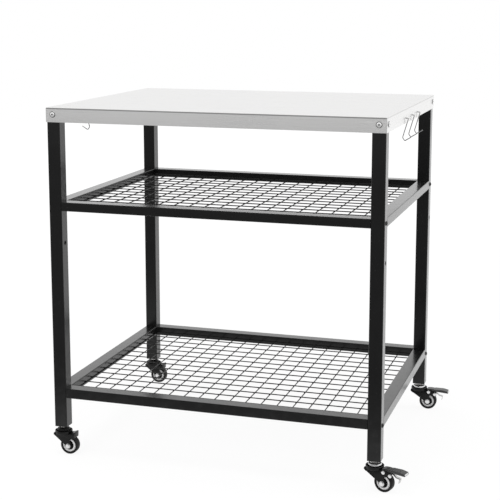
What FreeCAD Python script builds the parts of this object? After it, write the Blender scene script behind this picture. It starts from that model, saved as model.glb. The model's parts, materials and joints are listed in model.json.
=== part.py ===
import FreeCAD, Part
import os
import re
import Sketcher

# An outdoor pizza oven table: a folded steel worktop on four square legs, two mesh shelves, four swivel
# casters (the right-hand pair braked) and wire hooks on both sides. Millimetres, +Z up, front at -Y.
# The origin is on the floor under the middle of the worktop.

SIZES = {
    # worktop: a sheet with its edges folded down, on two stiffeners
    "top_width": 914,
    "top_depth": 711,
    "table_height": 960,
    "sheet": 1.5,
    "skirt_height": 39,
    "fold_radius": 2,
    "stiffener_spread": 456,
    "stiffener_width": 70,
    "stiffener_height": 20,
    "stiffener_flange": 15,
    "stiffener_wall": 1.2,
    "stiffener_end_gap": 4,
    # legs: square tubes, with a threaded block in each foot
    "leg_size": 36,
    "leg_wall": 1.5,
    "leg_corner": 3,
    "foot_block_height": 18,
    "spare_hole_drop": 366,
    # shelves: the mid one hangs below the top, the bottom one stands above the feet
    "rail_wall": 1.2,
    "rail_corner": 2,
    "mid_drop": 253,
    "mid_rail_height": 24,
    "mid_mesh_drop": 14,
    "mid_bolt_inset": 12,
    "bottom_rise": 110,
    "bottom_rail_height": 27,
    "bottom_mesh_drop": 16,
    "bottom_bolt_inset": 18,
    "mesh_wire": 3.5,
    "mesh_thick": 6,
    "end_block_length": 14,
    # bolts
    "bolt_size": 6,
    "bolt_clearance": 0.3,
    "thread_gap": 0.1,
    "thread_end": 2,
    "top_bolt_drop": 18.5,
    "top_bolt_head": 15,
    "shelf_bolt_head": 12,
    "bolt_head_height": 3,
    "bolt_head_slope": 2.4,
    "bolt_socket": 4.6,
    "bolt_socket_depth": 1.8,
    "top_nut_width": 12,
    "top_nut_depth": 5,
    # wheels and axles
    "wheel_size": 51,
    "tyre_width": 21,
    "tyre_shoulder": 2.5,
    "rim_size": 39,
    "rim_width": 19,
    "rim_inner": 27,
    "web_width": 8,
    "hub_boss": 15,
    "hub_gap": 0.3,
    "axle_size": 8,
    "axle_head": 15,
    "axle_head_height": 5,
    "running_gap": 0.05,
    # forks, above the wheels
    "plain_trail": 19,
    "braked_trail": 28,
    "wheel_room": 6,
    "fork_gap": 26,
    "fork_wall": 2.5,
    "fork_nose": 24,
    "fork_end_radius": 8,
    "fork_lip": 2,
    "hood_reach": 37,
    "hood_depth": 11.5,
    "dish_wall": 2,
    "dish_height": 6.5,
    # stems and bearings, above the forks
    "stem_size": 10,
    "stem_reach": 24,
    "kingpin_head": 14,
    "kingpin_head_height": 3,
    "ball_size": 4,
    "ball_gap": 0.1,
    "ball_circle": 28,
    "cap_size": 36,
    "cap_height": 11.3,
    "cap_edge": 5.5,
    "cap_slope": 2,
    "lock_nut_height": 5,
    "lock_nut_width": 19.6,
    "turn_front_left": 0,
    "turn_front_right": -15,
    "turn_back_left": 0,
    "turn_back_right": 0,
    # brakes: rivets, shoe and pedal, measured from the wheel's axle and rim
    "pin_size": 4,
    "pin_head": 10,
    "pin_head_height": 2,
    "pivot_x": 3,
    "pivot_rise": 4.5,
    "stop_gap": 7.4,
    "stop_angle": 42,
    "ear_margin": 5,
    "ear_rise": 1.5,
    "shoe_gap": 3.7,
    "shoe_start": 29,
    "shoe_end": 39,
    "lever_width": 24,
    "lever_under": 0.9,
    "lever_half": 5,
    "lever_reach": 30,
    "lever_web": 2.6,
    "pedal_rise": 11,
    "pedal_width": 25.4,
    "pedal_thick": 2.2,
    "pedal_flat": 45,
    "pedal_reach": 62,
    "pedal_dip": 1.5,
    "spring_width": 12,
    "spring_thick": 1.4,
    # hooks, hung through holes in the side skirts
    "hook_wire": 2.5,
    "hook_hole": 5,
    "hook_gap": 0.25,
    "hook_drop": 25,
    "hook_pitch": 90,
    "hook_shift": -9,
    "hook_inside": 5,
    "hook_tail": 6,
    "hook_shank": 51.5,
    "hook_crook": 8.5,
    "hook_tip": 10.5,
    "hook_bend": 3,
}

BALLS = 10
MESH_COLUMNS = 19
MESH_ROWS = 14
CORNERS = {"front_left": (-1, -1), "front_right": (1, -1), "back_left": (-1, 1), "back_right": (1, 1)}
BRAKED = ("front_right", "back_right")
HOOKS = {
    "right_hook_front": (1, -1),
    "right_hook_middle": (1, 0),
    "right_hook_back": (1, 1),
    "left_hook_front": (-1, -1),
    "left_hook_back": (-1, 1),
}

X_AXIS = FreeCAD.Vector(1, 0, 0)
Y_AXIS = FreeCAD.Vector(0, 1, 0)
Z_AXIS = FreeCAD.Vector(0, 0, 1)

# Places that several pieces share, as expressions
LEG_X = "(top_width / 2 - sheet - leg_size / 2)"
LEG_Y = "(top_depth / 2 - sheet - leg_size / 2)"
INNER_X = "(top_width / 2 - sheet - leg_size)"
INNER_Y = "(top_depth / 2 - sheet - leg_size)"
AXLE = "wheel_size / 2"
CROWN_UNDER = "(wheel_size + wheel_room)"
CROWN = "(wheel_size + wheel_room + fork_wall)"
RACE = f"({CROWN} + 2 * ball_gap + ball_size)"
SHOULDER = f"({RACE} + cap_height)"
FOOT = f"({SHOULDER} + lock_nut_height)"
LEG_TOP = "(table_height - sheet)"
TOP_BOLT_Z = "(table_height - top_bolt_drop)"
LEVELS = {"mid": "(table_height - mid_drop)", "bottom": f"({FOOT} + bottom_rise)"}
FORK_FACE = "(fork_gap / 2 + fork_wall)"
BOLT_HOLE = "(bolt_size / 2 + bolt_clearance)"
THREAD_HOLE = "(bolt_size / 2 + thread_gap)"
STEM_HOLE = "(stem_size / 2 + thread_gap)"
PIVOT = ("(braked_trail + pivot_x)", f"({AXLE} + wheel_size / 2 + pivot_rise)")
# How far cutting tools stand out of what they cut
OVER = "1"

doc = FreeCAD.newDocument("pizza_oven_table")
sheet = doc.addObject("Spreadsheet::Sheet", "dims")
for row, (alias, number) in enumerate(SIZES.items(), start=1):
    sheet.set(f"A{row}", alias)
    sheet.set(f"B{row}", str(number))
    sheet.setAlias(f"B{row}", alias)
doc.recompute()

nodes = []


def formula(text):
    """An expression with the sheet's name put before each size in it."""
    return re.sub(r"[a-z][a-z_]+", lambda word: "dims." + word[0] if word[0] in SIZES else word[0], text)


def value(text):
    return float(sheet.evalExpression(formula(text)))


def bind(item, sizes):
    for path, text in sizes.items():
        item.setExpression(path, formula(text))


def place(item, x, y, z, turn=None, angle=0):
    """Put an item at a place given by expressions, turned about an axis."""
    item.Placement = FreeCAD.Placement(FreeCAD.Vector(), FreeCAD.Rotation(turn or Z_AXIS, angle))
    bind(item, {"Placement.Base.x": x, "Placement.Base.y": y, "Placement.Base.z": z})
    return item


def node(item, name):
    item.Label = name
    nodes.append(item)
    return item


def new_body(name):
    return node(doc.addObject("PartDesign::Body", name), name)


def origin_feature(body, role):
    return next(item for item in body.Origin.OriginFeatures if item.Role == role)


def new_sketch(body, plane, offset="0"):
    drawing = body.newObject("Sketcher::SketchObject", "sketch")
    drawing.AttachmentSupport = [(origin_feature(body, plane), "")]
    drawing.MapMode = "FlatFace"
    bind(drawing, {"AttachmentOffset.Base.z": offset})
    return drawing


def pin_point(drawing, index, end, x, y):
    """Bind both coordinates of a point of a sketch."""
    for kind, text in (("DistanceX", x), ("DistanceY", y)):
        number = drawing.addConstraint(Sketcher.Constraint(kind, index, end, value(text)))
        bind(drawing, {f"Constraints[{number}]": text})


def pin_radius(drawing, index, radius):
    number = drawing.addConstraint(Sketcher.Constraint("Radius", index, value(radius)))
    bind(drawing, {f"Constraints[{number}]": radius})


def sketch(body, plane, outlines=(), circles=(), offset="0"):
    """Closed outlines and circles on an origin plane, with every coordinate bound to the sheet."""
    drawing = new_sketch(body, plane, offset)
    for outline in outlines:
        first = drawing.GeometryCount
        count = len(outline)
        ends = [FreeCAD.Vector(value(x), value(y), 0) for x, y in outline]
        for k in range(count):
            drawing.addGeometry(Part.LineSegment(ends[k], ends[(k + 1) % count]))
        for k, (x, y) in enumerate(outline):
            drawing.addConstraint(Sketcher.Constraint("Coincident", first + k, 2, first + (k + 1) % count, 1))
            pin_point(drawing, first + k, 1, x, y)
    for x, y, radius in circles:
        circle = drawing.addGeometry(Part.Circle(FreeCAD.Vector(value(x), value(y), 0), Z_AXIS, value(radius)))
        pin_point(drawing, circle, 3, x, y)
        pin_radius(drawing, circle, radius)
    return drawing


def rectangle(x, y, width, height):
    """Corners of a rectangle about a centre."""
    left, right = f"{x} - ({width}) / 2", f"{x} + ({width}) / 2"
    low, high = f"{y} - ({height}) / 2", f"{y} + ({height}) / 2"
    return [(left, low), (right, low), (right, high), (left, high)]


def extrude(body, kind, drawing, length, symmetric=True):
    feature = body.newObject(f"PartDesign::{kind}", kind.lower())
    feature.Profile = drawing
    feature.SideType = "Symmetric" if symmetric else "One side"
    bind(feature, {"Length": length})
    doc.recompute()
    return feature


def pocket(body, drawing, length):
    """Cut a pocket to both sides of its sketch, and make sure that it took something away."""
    before = body.Shape.Volume
    feature = extrude(body, "Pocket", drawing, length)
    if feature.Shape.Volume >= before:
        raise ValueError(f"a pocket in {body.Label} cuts nothing")
    return feature


def revolve(body, profile):
    """Turn a profile of the XZ plane about the body's Z axis."""
    drawing = sketch(body, "XZ_Plane", [profile])
    feature = body.newObject("PartDesign::Revolution", "revolution")
    feature.Profile = drawing
    feature.ReferenceAxis = (drawing, ["V_Axis"])
    feature.Angle = 360
    doc.recompute()


def round_edges(body, radius, chosen):
    """Round the edges of the body's tip that pass a test."""
    base = body.Tip
    names = [f"Edge{k}" for k, edge in enumerate(base.Shape.Edges, start=1) if chosen(edge)]
    feature = body.newObject("PartDesign::Fillet", "fillet")
    feature.Base = (base, names)
    bind(feature, {"Radius": radius})
    doc.recompute()


def at_half(number, size):
    """Whether a coordinate lies at half a size, on either side."""
    return abs(abs(number) - value(size) / 2) < 0.001


def box(x, y, z, length, width, height):
    item = doc.addObject("Part::Box", "box")
    bind(item, {"Length": length, "Width": width, "Height": height})
    return place(item, x, y, z)


def cylinder(z, radius, length, x="0", y="0", turn=None, angle=0):
    item = doc.addObject("Part::Cylinder", "cylinder")
    bind(item, {"Radius": radius, "Height": length})
    return place(item, x, y, z, turn, angle)


def hexagon(z, across_corners, length, x="0", y="0"):
    item = doc.addObject("Part::Prism", "hexagon")
    item.Polygon = 6
    bind(item, {"Circumradius": f"({across_corners}) / 2", "Height": length})
    return place(item, x, y, z)


def cut(base, tool):
    item = doc.addObject("Part::Cut", "cut")
    item.Base = base
    item.Tool = tool
    return item


def fuse(items):
    item = doc.addObject("Part::MultiFuse", "union")
    item.Shapes = items
    return item


def group(name, items):
    """Separate solids of one kind, kept together in one node."""
    item = doc.addObject("Part::Compound", name)
    item.Links = items
    return node(item, name)


# Worktop: a shallow tray turned over, with bolt holes at the corners and hook holes in the sides
def make_worktop():
    body = new_body("worktop")
    place(body, "0", "0", "table_height - skirt_height")
    outer = sketch(body, "XY_Plane", [rectangle("0", "0", "top_width", "top_depth")])
    extrude(body, "Pad", outer, "skirt_height", symmetric=False)
    inner = rectangle("0", "0", "top_width - 2 * sheet", "top_depth - 2 * sheet")
    pocket(body, sketch(body, "XY_Plane", [inner]), "2 * (skirt_height - sheet)")
    top, long = value("skirt_height"), value("top_depth") * 0.9
    round_edges(body, "fold_radius", lambda edge: edge.BoundBox.ZMin > top - 0.01 and edge.Length > long)
    bolt_level = "skirt_height - top_bolt_drop"
    front = [(f"{side} * {LEG_X}", bolt_level, BOLT_HOLE) for side in (-1, 1)]
    pocket(body, sketch(body, "XZ_Plane", circles=front), f"top_depth + {OVER}")
    side = [(f"{end} * {LEG_Y}", bolt_level, BOLT_HOLE) for end in (-1, 1)]
    side += [(f"hook_shift + {k} * hook_pitch", "skirt_height - hook_drop", "hook_hole / 2") for k in (-1, 0, 1)]
    pocket(body, sketch(body, "YZ_Plane", circles=side), f"top_width + {OVER}")


# Two hat-section stiffeners welded under the sheet, running from front to back
def make_stiffener(name, side):
    body = new_body(name)
    place(body, f"{side} * stiffener_spread / 2", "0", LEG_TOP)
    wing, half = "stiffener_width / 2", "(stiffener_width / 2 - stiffener_flange)"
    wall, deep = "stiffener_wall", "stiffener_height"
    right = [
        (f"{half} - {wall}", f"{wall} - {deep}"), (f"{half} - {wall}", "0"), (wing, "0"),
        (wing, f"-{wall}"), (half, f"-{wall}"), (half, f"-{deep}"),
    ]
    left = [(f"-({x})", z) for x, z in reversed(right)]
    extrude(body, "Pad", sketch(body, "XZ_Plane", [right + left]), "top_depth - 2 * (sheet + stiffener_end_gap)")


# Legs: square tubes from the sheet down to the casters, drilled for the shelves and the worktop
def make_leg(corner, side, end):
    body = new_body(f"leg_{corner}")
    place(body, f"{side} * {LEG_X}", f"{end} * {LEG_Y}", FOOT)
    bore = "leg_size - 2 * leg_wall"
    ring = [rectangle("0", "0", "leg_size", "leg_size"), rectangle("0", "0", bore, bore)]
    extrude(body, "Pad", sketch(body, "XY_Plane", ring), f"{LEG_TOP} - {FOOT}", symmetric=False)
    round_edges(body, "leg_corner", lambda edge: edge.BoundBox.ZLength > value("leg_size")
                and at_half(edge.CenterOfMass.x, "leg_size") and at_half(edge.CenterOfMass.y, "leg_size"))
    heights = [f"{level} - {shelf}_bolt_inset - {FOOT}" for shelf, level in LEVELS.items()]
    heights.append(f"table_height - spare_hole_drop - {FOOT}")
    through = [("0", height, BOLT_HOLE) for height in heights]
    pocket(body, sketch(body, "YZ_Plane", circles=through), f"leg_size + {OVER}")
    top_hole = [("0", f"{TOP_BOLT_Z} - {FOOT}", BOLT_HOLE)]
    outer_x = sketch(body, "YZ_Plane", circles=top_hole, offset=f"{side} * leg_size / 2")
    pocket(body, outer_x, "4 * leg_wall")
    outer_y = sketch(body, "XZ_Plane", circles=top_hole, offset=f"{-end} * leg_size / 2")
    pocket(body, outer_y, "4 * leg_wall")


# Shelf rails: tubes between the legs, flush with their outer faces
def make_rail(name, level, height, side, end):
    body = new_body(name)
    place(body, f"{side} * {LEG_X}", f"{end} * {LEG_Y}", f"{level} - {height} / 2")
    ring = [rectangle("0", "0", "leg_size", height),
            rectangle("0", "0", "leg_size - 2 * rail_wall", f"{height} - 2 * rail_wall")]
    plane, length = ("YZ_Plane", f"2 * {INNER_X}") if end else ("XZ_Plane", f"2 * {INNER_Y}")
    extrude(body, "Pad", sketch(body, plane, ring), length)
    round_edges(body, "rail_corner",
                lambda edge: edge.Length > value(f"{length} - 1") and at_half(edge.CenterOfMass.z, height))


# Shelf mesh: crossed welded wires with a border wire, as one holed plate between the rails
def make_mesh(name, level):
    body = new_body(name)
    place(body, "0", "0", f"{level} - mesh_thick")
    plate = sketch(body, "XY_Plane", [rectangle("0", "0", f"2 * {INNER_X}", f"2 * {INNER_Y}")])
    extrude(body, "Pad", plate, "mesh_thick", symmetric=False)
    step_x = f"((2 * {INNER_X} - mesh_wire) / {MESH_COLUMNS})"
    step_y = f"((2 * {INNER_Y} - mesh_wire) / {MESH_ROWS})"
    column = [rectangle(f"(mesh_wire + {step_x}) / 2 - {INNER_X}", f"({k} - {MESH_ROWS / 2 - 0.5}) * {step_y}",
                        f"{step_x} - mesh_wire", f"{step_y} - mesh_wire") for k in range(MESH_ROWS)]
    gaps = pocket(body, sketch(body, "XY_Plane", column), f"2 * mesh_thick + {OVER}")
    pattern = body.newObject("PartDesign::LinearPattern", "pattern")
    pattern.Originals = [gaps]
    pattern.Direction = (origin_feature(body, "X_Axis"), [""])
    pattern.Mode = "Spacing"
    pattern.Occurrences = MESH_COLUMNS
    bind(pattern, {"Offset": step_x})
    body.Tip = pattern
    doc.recompute()


# One shelf: four rails, the mesh, and bolts through the legs into blocks in the rails' ends
def make_shelf(shelf):
    name, level, height = f"{shelf}_shelf", LEVELS[shelf], f"{shelf}_rail_height"
    for word, side, end in (("front", 0, -1), ("back", 0, 1), ("left", -1, 0), ("right", 1, 0)):
        make_rail(f"{name}_rail_{word}", level, height, side, end)
    make_mesh(f"{name}_mesh", f"{level} - {shelf}_mesh_drop")
    bolt_z = f"{level} - {shelf}_bolt_inset"
    bolts, blocks = [], []
    for side, end in CORNERS.values():
        y = f"{end} * {LEG_Y}"
        bolts.append(bolt(f"{side} * (top_width / 2 - sheet)", y, bolt_z, Y_AXIS, 90 * side, "shelf_bolt_head",
                          "leg_size + end_block_length - thread_end"))
        start = f"{side} * ({INNER_X} - end_block_length / 2) - end_block_length / 2"
        block = box(start, f"{y} - leg_size / 2 + rail_wall", f"{level} - {height} + rail_wall",
                    "end_block_length", "leg_size - 2 * rail_wall", f"{height} - 2 * rail_wall")
        hole = cylinder(bolt_z, THREAD_HOLE, f"end_block_length + 2 * {OVER}", f"{start} - {OVER}", y, Y_AXIS, 90)
        blocks.append(cut(block, hole))
    group(f"{name}_bolts", bolts)
    group(f"{name}_rail_end_blocks", blocks)


# A round-headed bolt with a hexagon socket: its head stands out along the turned +Z, its shank goes in
def bolt(x, y, z, turn, angle, head, length):
    shank = cylinder(f"-({length})", "bolt_size / 2", length)
    dome = doc.addObject("Part::Cone", "dome")
    bind(dome, {"Radius1": f"{head} / 2", "Radius2": f"{head} / 2 - bolt_head_slope",
                "Height": "bolt_head_height"})
    socket = hexagon("bolt_head_height - bolt_socket_depth", "bolt_socket", f"bolt_socket_depth + {OVER}")
    return place(cut(fuse([shank, dome]), socket), x, y, z, turn, angle)


def weld_nut(x, y, turn):
    block = box("-top_nut_width / 2", "-top_nut_width / 2", "-top_nut_depth / 2",
                "top_nut_width", "top_nut_width", "top_nut_depth")
    hole = cylinder("-top_nut_depth", THREAD_HOLE, "2 * top_nut_depth")
    return place(cut(block, hole), x, y, TOP_BOLT_Z, turn, 90)


# Bolts through the skirt, two at each corner, into nuts welded inside the legs
def make_top_fasteners():
    bolts, nuts = [], []
    length = "sheet + leg_wall + top_nut_depth + thread_end"
    inset = "(sheet + leg_wall + top_nut_depth / 2)"
    for side, end in CORNERS.values():
        face_x, leg_x = f"{side} * top_width / 2", f"{side} * {LEG_X}"
        face_y, leg_y = f"{end} * top_depth / 2", f"{end} * {LEG_Y}"
        bolts.append(bolt(face_x, leg_y, TOP_BOLT_Z, Y_AXIS, 90 * side, "top_bolt_head", length))
        bolts.append(bolt(leg_x, face_y, TOP_BOLT_Z, X_AXIS, -90 * end, "top_bolt_head", length))
        nuts.append(weld_nut(f"{face_x} - {side} * {inset}", leg_y, Y_AXIS))
        nuts.append(weld_nut(leg_x, f"{face_y} - {end} * {inset}", X_AXIS))
    group("worktop_bolts", bolts)
    group("worktop_weld_nuts", nuts)


# Threaded blocks in the feet of the legs, the lock nuts under them and the balls of the swivels
def make_foot_fasteners():
    blocks, nuts, balls = [], [], []
    width = "(leg_size - 2 * leg_wall)"
    for side, end in CORNERS.values():
        x, y = f"{side} * {LEG_X}", f"{end} * {LEG_Y}"
        block = box(f"{x} - {width} / 2", f"{y} - {width} / 2", FOOT, width, width, "foot_block_height")
        bore = cylinder(f"{FOOT} - {OVER}", STEM_HOLE, f"foot_block_height + 2 * {OVER}", x, y)
        blocks.append(cut(block, bore))
        nut = hexagon(SHOULDER, "lock_nut_width", "lock_nut_height", x, y)
        thread = cylinder(f"{SHOULDER} - {OVER}", STEM_HOLE, f"lock_nut_height + 2 * {OVER}", x, y)
        nuts.append(cut(nut, thread))
        for k in range(BALLS):
            angle = f"{360 * k / BALLS} deg"
            ball = doc.addObject("Part::Sphere", "ball")
            bind(ball, {"Radius": "ball_size / 2"})
            place(ball, f"{x} + ball_circle / 2 * cos({angle})", f"{y} + ball_circle / 2 * sin({angle})",
                  f"{CROWN} + ball_gap + ball_size / 2")
            balls.append(ball)
    group("leg_foot_blocks", blocks)
    group("caster_lock_nuts", nuts)
    group("caster_bearing_balls", balls)


def seat(item, corner):
    """Move a piece drawn about its own swivel axis under its leg, turned as its caster stands."""
    side, end = CORNERS[corner]
    place(item, f"{side} * {LEG_X}", f"{end} * {LEG_Y}", "0")
    bind(item, {"Placement.Rotation.Angle": f"turn_{corner}"})


# Caster stem: threaded rod, upper race and kingpin in one turned piece
def make_stem(corner):
    body = new_body(f"caster_stem_{corner}")
    head_top = f"({CROWN_UNDER} - ball_gap)"
    head_under = f"{head_top} - kingpin_head_height"
    revolve(body, [
        ("0", head_under), ("kingpin_head / 2", head_under), ("kingpin_head / 2", head_top),
        ("stem_size / 2", head_top), ("stem_size / 2", RACE), ("cap_size / 2", RACE),
        ("cap_size / 2", f"{RACE} + cap_edge"), ("cap_size / 2 - cap_slope", f"{RACE} + cap_edge + cap_slope"),
        ("lock_nut_width / 2", SHOULDER), ("stem_size / 2", SHOULDER),
        ("stem_size / 2", f"{FOOT} + stem_reach"), ("0", f"{FOOT} + stem_reach"),
    ])
    seat(body, corner)


def from_axle(radius, angle):
    """A point over the braked wheel, by its distance from the axle and its angle from upright."""
    return (f"(braked_trail + ({radius}) * sin({angle} * 1 deg))",
            f"({AXLE} + ({radius}) * cos({angle} * 1 deg))")


STOP = from_axle("wheel_size / 2 + stop_gap", "stop_angle")


# Fork: a pressed crown with a dish for the balls, and two side plates down to the axle
def make_fork(corner, trail, braked):
    body = new_body(f"caster_fork_{corner}")
    sides = [("-fork_nose", CROWN), ("-fork_nose", f"{CROWN_UNDER} - fork_lip"),
             (f"{trail} - fork_end_radius", AXLE), (f"{trail} + fork_end_radius", AXLE)]
    if braked:
        back = f"{STOP[0]} + ear_margin"
        sides += [(f"{trail} + ear_margin", f"{STOP[1]} - ear_margin"), (back, f"{STOP[1]} - ear_margin"),
                  (back, PIVOT[1]), (f"{PIVOT[0]} + ear_margin", f"{CROWN} + ear_rise"),
                  (f"{PIVOT[0]} - ear_margin", f"{CROWN} + ear_rise"), ("fork_nose", CROWN)]
        inside = f"{back} + {OVER}"
    else:
        sides += [("fork_nose", f"{CROWN} - hood_depth - fork_lip"), ("hood_reach", f"{CROWN} - hood_depth"),
                  ("hood_reach", CROWN)]
        inside = "hood_reach - fork_wall"
    width = f"2 * {FORK_FACE}"
    extrude(body, "Pad", sketch(body, "XZ_Plane", [sides]), width)
    extrude(body, "Pad", sketch(body, "XZ_Plane", circles=[(trail, AXLE, "fork_end_radius")]), width)
    nose = f"-fork_nose - {OVER}"
    room = [(nose, "0"), (inside, "0"), (inside, CROWN_UNDER), (nose, CROWN_UNDER)]
    pocket(body, sketch(body, "XZ_Plane", [room]), "fork_gap")
    if braked:
        above = f"{CROWN} + ear_rise + {OVER}"
        over = [("fork_nose", "0"), (inside, "0"), (inside, above), ("fork_nose", above)]
        pocket(body, sketch(body, "XZ_Plane", [over]), "fork_gap")
        pins = [(*centre, "pin_size / 2 + thread_gap") for centre in (PIVOT, STOP)]
        pocket(body, sketch(body, "XZ_Plane", circles=pins), f"{width} + {OVER}")
    bore = "stem_size / 2 + running_gap"
    revolve(body, [
        (bore, CROWN_UNDER), ("fork_nose", CROWN_UNDER), ("fork_nose", f"{CROWN} + dish_height"),
        ("fork_nose - dish_wall", f"{CROWN} + dish_height"), ("fork_nose - dish_wall", CROWN), (bore, CROWN),
    ])
    pocket(body, sketch(body, "XY_Plane", circles=[("0", "0", bore)], offset=CROWN_UNDER), "4 * fork_wall")
    axle = sketch(body, "XZ_Plane", circles=[(trail, AXLE, "axle_size / 2 + thread_gap")])
    pocket(body, axle, f"{width} + {OVER}")
    seat(body, corner)


# Axle: a hexagon-headed bolt through the fork, and its nut
def make_axle(corner, trail):
    end = f"-{FORK_FACE} - axle_head_height"
    head = hexagon(FORK_FACE, "axle_head", "axle_head_height")
    shank = cylinder(f"{end} - {OVER}", "axle_size / 2", f"2 * {FORK_FACE} + axle_head_height + {OVER}")
    nut = hexagon(end, "axle_head", "axle_head_height")
    thread = cylinder(f"{end} - {OVER}", "axle_size / 2 + thread_gap", f"axle_head_height + 2 * {OVER}")
    pieces = [fuse([head, shank]), cut(nut, thread)]
    for piece in pieces:
        place(piece, trail, "0", AXLE, X_AXIS, 90)
    seat(group(f"caster_axle_{corner}", pieces), corner)


def make_ring(name, half, corner, trail):
    """A ring turned from half of its profile and its mirror image, then laid on the caster's axle."""
    upright = doc.addObject("PartDesign::Body", name + "_upright")
    revolve(upright, half + [(radius, f"-({z})") for radius, z in reversed(half)])
    place(upright, trail, "0", AXLE, X_AXIS, 90)
    seat(group(name, [upright]), corner)


# Wheel: a moulded rim with a thin web, and a tyre round it
def make_wheel(corner, trail):
    bore = "axle_size / 2 + running_gap"
    boss = "(fork_gap / 2 - hub_gap)"
    make_ring(f"caster_rim_{corner}", [
        (bore, boss), ("hub_boss / 2", boss), ("hub_boss / 2", "web_width / 2"),
        ("rim_inner / 2", "web_width / 2"), ("rim_inner / 2", "rim_width / 2"), ("rim_size / 2", "rim_width / 2"),
    ], corner, trail)
    outer = "wheel_size / 2"
    make_ring(f"caster_tyre_{corner}", [
        ("rim_size / 2 + thread_gap", "tyre_width / 2"), (f"{outer} - tyre_shoulder", "tyre_width / 2"),
        (outer, "tyre_width / 2 - tyre_shoulder"),
    ], corner, trail)


# Brake pedal: a lever between the fork's ears with a shoe over the tyre, and a tread plate
def make_pedal(corner):
    body = new_body(f"brake_pedal_{corner}")
    shoe_start = from_axle("wheel_size / 2 + shoe_gap", "shoe_start")
    shoe_end = from_axle("wheel_size / 2 + shoe_gap", "shoe_end")
    under = "wheel_size + lever_under"
    tread = "(wheel_size + pedal_rise)"
    back, front = f"{PIVOT[0]} - lever_half", f"{PIVOT[0]} + lever_half"
    reach = "braked_trail + lever_reach"
    lever = [(back, under), (front, under), shoe_start, shoe_end, (shoe_end[0], f"{tread} - lever_web"),
             (reach, f"{tread} - lever_web"), (reach, tread), (back, tread)]
    extrude(body, "Pad", sketch(body, "XZ_Plane", [lever]), "lever_width")
    flat, tip = "braked_trail + pedal_flat", "braked_trail + pedal_reach"
    plate = [(back, tread), (flat, tread), (tip, f"{tread} - pedal_dip - pedal_thick"),
             (tip, f"{tread} - pedal_dip"), (flat, f"{tread} + pedal_thick"), (back, f"{tread} + pedal_thick")]
    extrude(body, "Pad", sketch(body, "XZ_Plane", [plate]), "pedal_width")
    pivot = sketch(body, "XZ_Plane", circles=[(*PIVOT, "pin_size / 2 + running_gap")])
    pocket(body, pivot, f"pedal_width + {OVER}")
    seat(body, corner)


# Leaf spring: a bent strip that lies on the stop rivet and turns down at its end
def make_spring(corner):
    body = new_body(f"brake_spring_{corner}")
    upper = [("-1", "spring_thick"), ("3.5", "spring_thick"), ("12.6", "-6.9"), ("23.2", "-8.7"), ("20.9", "-20.7")]
    lower = [("19.5", "-20.5"), ("21.5", "-9.9"), ("12", "-8.3"), ("3", "0"), ("-1", "0")]
    leaf = [(f"{STOP[0]} + {x}", f"{STOP[1]} + pin_size / 2 + {z}") for x, z in upper + lower]
    extrude(body, "Pad", sketch(body, "XZ_Plane", [leaf]), "spring_width")
    seat(body, corner)


# Two rivets through the fork's ears: the pedal's pivot, and the stop that holds the spring
def make_rivets(corner):
    rivets = []
    for x, z in (PIVOT, STOP):
        shank = cylinder(f"-{FORK_FACE}", "pin_size / 2", f"2 * {FORK_FACE}")
        near = cylinder(FORK_FACE, "pin_head / 2", "pin_head_height")
        far = cylinder(f"-{FORK_FACE} - pin_head_height", "pin_head / 2", "pin_head_height")
        rivets.append(place(fuse([shank, near, far]), x, "0", z, X_AXIS, 90))
    seat(group(f"brake_rivets_{corner}", rivets), corner)


# Hooks: bent wire through a hole in the side skirt, with an open crook below
def make_hook(name, side, place_in_row):
    body = new_body(name)
    place(body, f"{side} * top_width / 2", f"hook_shift + {place_in_row} * hook_pitch", "table_height - hook_drop")
    inside = "-(sheet + hook_inside)"
    lying = "(hook_gap - (hook_hole - hook_wire) / 2)"
    crook = f"({lying} - hook_shank - hook_crook)"
    route = [(inside, f"{lying} - hook_tail"), (inside, lying), ("7", lying), ("-8", f"{lying} - hook_shank"),
             ("-2", crook), ("15", f"{crook} + hook_tip")]
    route = [(f"{side} * {x}", z) for x, z in route]
    ends = [FreeCAD.Vector(value(x), value(z), 0) for x, z in route]
    spine = new_sketch(body, "XZ_Plane")
    for start, end in zip(ends, ends[1:]):
        spine.addGeometry(Part.LineSegment(start, end))
    runs = spine.GeometryCount
    for k in range(runs - 1):
        spine.addConstraint(Sketcher.Constraint("Coincident", k, 2, k + 1, 1))
    for k in range(runs - 1):
        # A fillet adds an arc and a point at the corner that it rounds
        arc, corner = spine.GeometryCount, spine.GeometryCount + 1
        before, after = (ends[k] + ends[k + 1]) / 2, (ends[k + 1] + ends[k + 2]) / 2
        spine.fillet(k, k + 1, before, after, value("hook_bend"), True, True)
        pin_radius(spine, arc, "hook_bend")
        pin_point(spine, corner, 1, *route[k + 1])
    pin_point(spine, 0, 1, *route[0])
    pin_point(spine, runs - 1, 2, *route[-1])
    drawing = sketch(body, "XY_Plane", circles=[(route[0][0], "0", "hook_wire / 2")], offset=route[0][1])
    wire = body.newObject("PartDesign::AdditivePipe", "wire")
    wire.Profile = drawing
    wire.Spine = spine
    doc.recompute()


make_worktop()
make_stiffener("worktop_stiffener_left", -1)
make_stiffener("worktop_stiffener_right", 1)
for corner, (side, end) in CORNERS.items():
    make_leg(corner, side, end)
make_top_fasteners()
for shelf in LEVELS:
    make_shelf(shelf)
make_foot_fasteners()
for corner in CORNERS:
    braked = corner in BRAKED
    trail = "braked_trail" if braked else "plain_trail"
    make_stem(corner)
    make_fork(corner, trail, braked)
    make_axle(corner, trail)
    make_wheel(corner, trail)
    if braked:
        make_pedal(corner)
        make_spring(corner)
        make_rivets(corner)
for name, (side, place_in_row) in HOOKS.items():
    make_hook(name, side, place_in_row)

doc.recompute()
for item in doc.Objects:
    if "Invalid" in item.State or "Error" in item.State:
        raise ValueError(f"{item.Label} failed: {item.State}")
for item in nodes:
    if item.Shape.isNull() or not item.Shape.isValid():
        raise ValueError(f"{item.Label} has no valid shape")

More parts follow.
